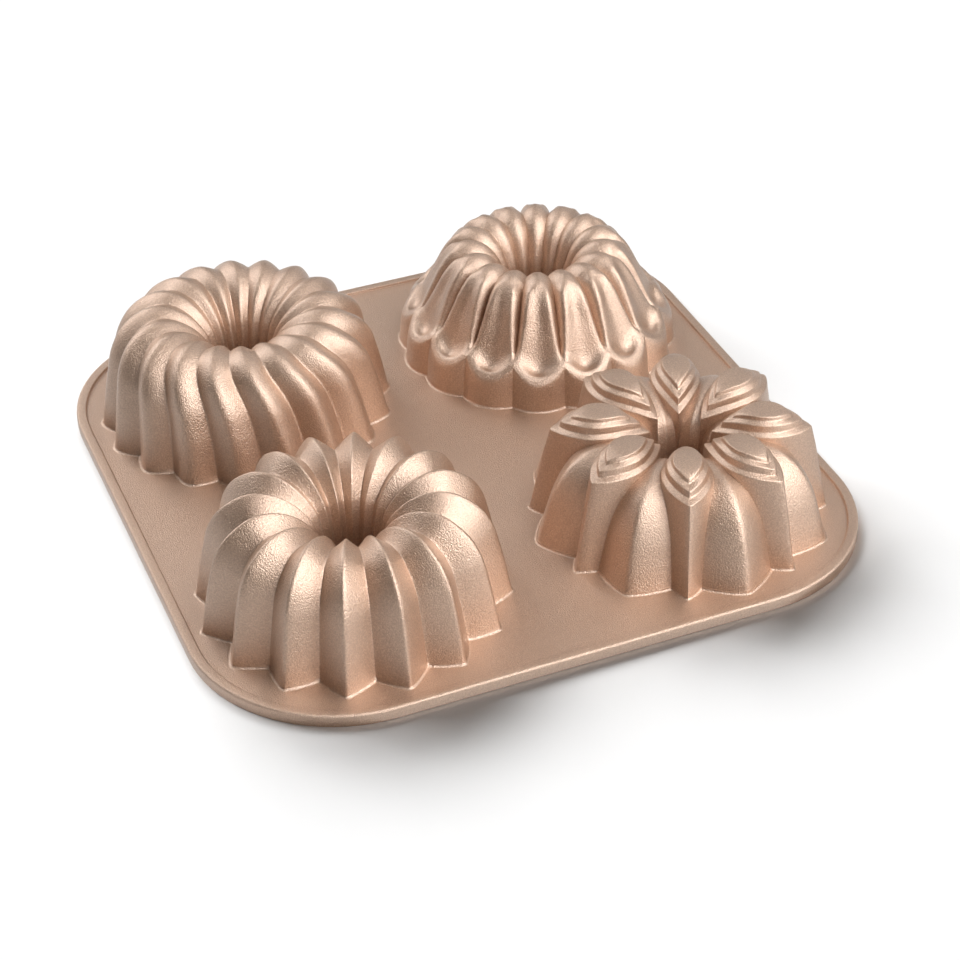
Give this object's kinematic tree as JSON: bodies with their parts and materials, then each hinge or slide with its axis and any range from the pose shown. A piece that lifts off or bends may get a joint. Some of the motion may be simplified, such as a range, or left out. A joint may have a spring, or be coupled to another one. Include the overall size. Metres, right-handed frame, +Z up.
{
  "type": "mini bundt pan",
  "caption": "Square cast baking tray with fluted ring moulds, each a different shape with a hollow centre tube, standing on its rim with the moulds up.",
  "frame": {"origin": "middle of the square tray, on the surface that its rim rests on", "axes": "+Z up, out of the domed side of the moulds; +X right along the tray's front edge; +Y away from the front edge"},
  "size_m": [0.28, 0.28, 0.0534],
  "materials": {
    "coated_mould": "glossy champagne coating with a fine sparkle",
    "coated_deck": "satin champagne coating",
    "coated_rim": "satin champagne coating"
  },
  "bodies": {
    "root": {"deck_plate": "coated_deck", "rim_border": "coated_rim", "swirl_mould": "coated_mould", "swirl_centre_tube": "coated_mould", "star_mould": "coated_mould", "star_centre_tube": "coated_mould", "scallop_mould": "coated_mould", "scallop_centre_tube": "coated_mould", "petal_mould": "coated_mould", "petal_centre_tube": "coated_mould"}
  },
  "joints": []
}
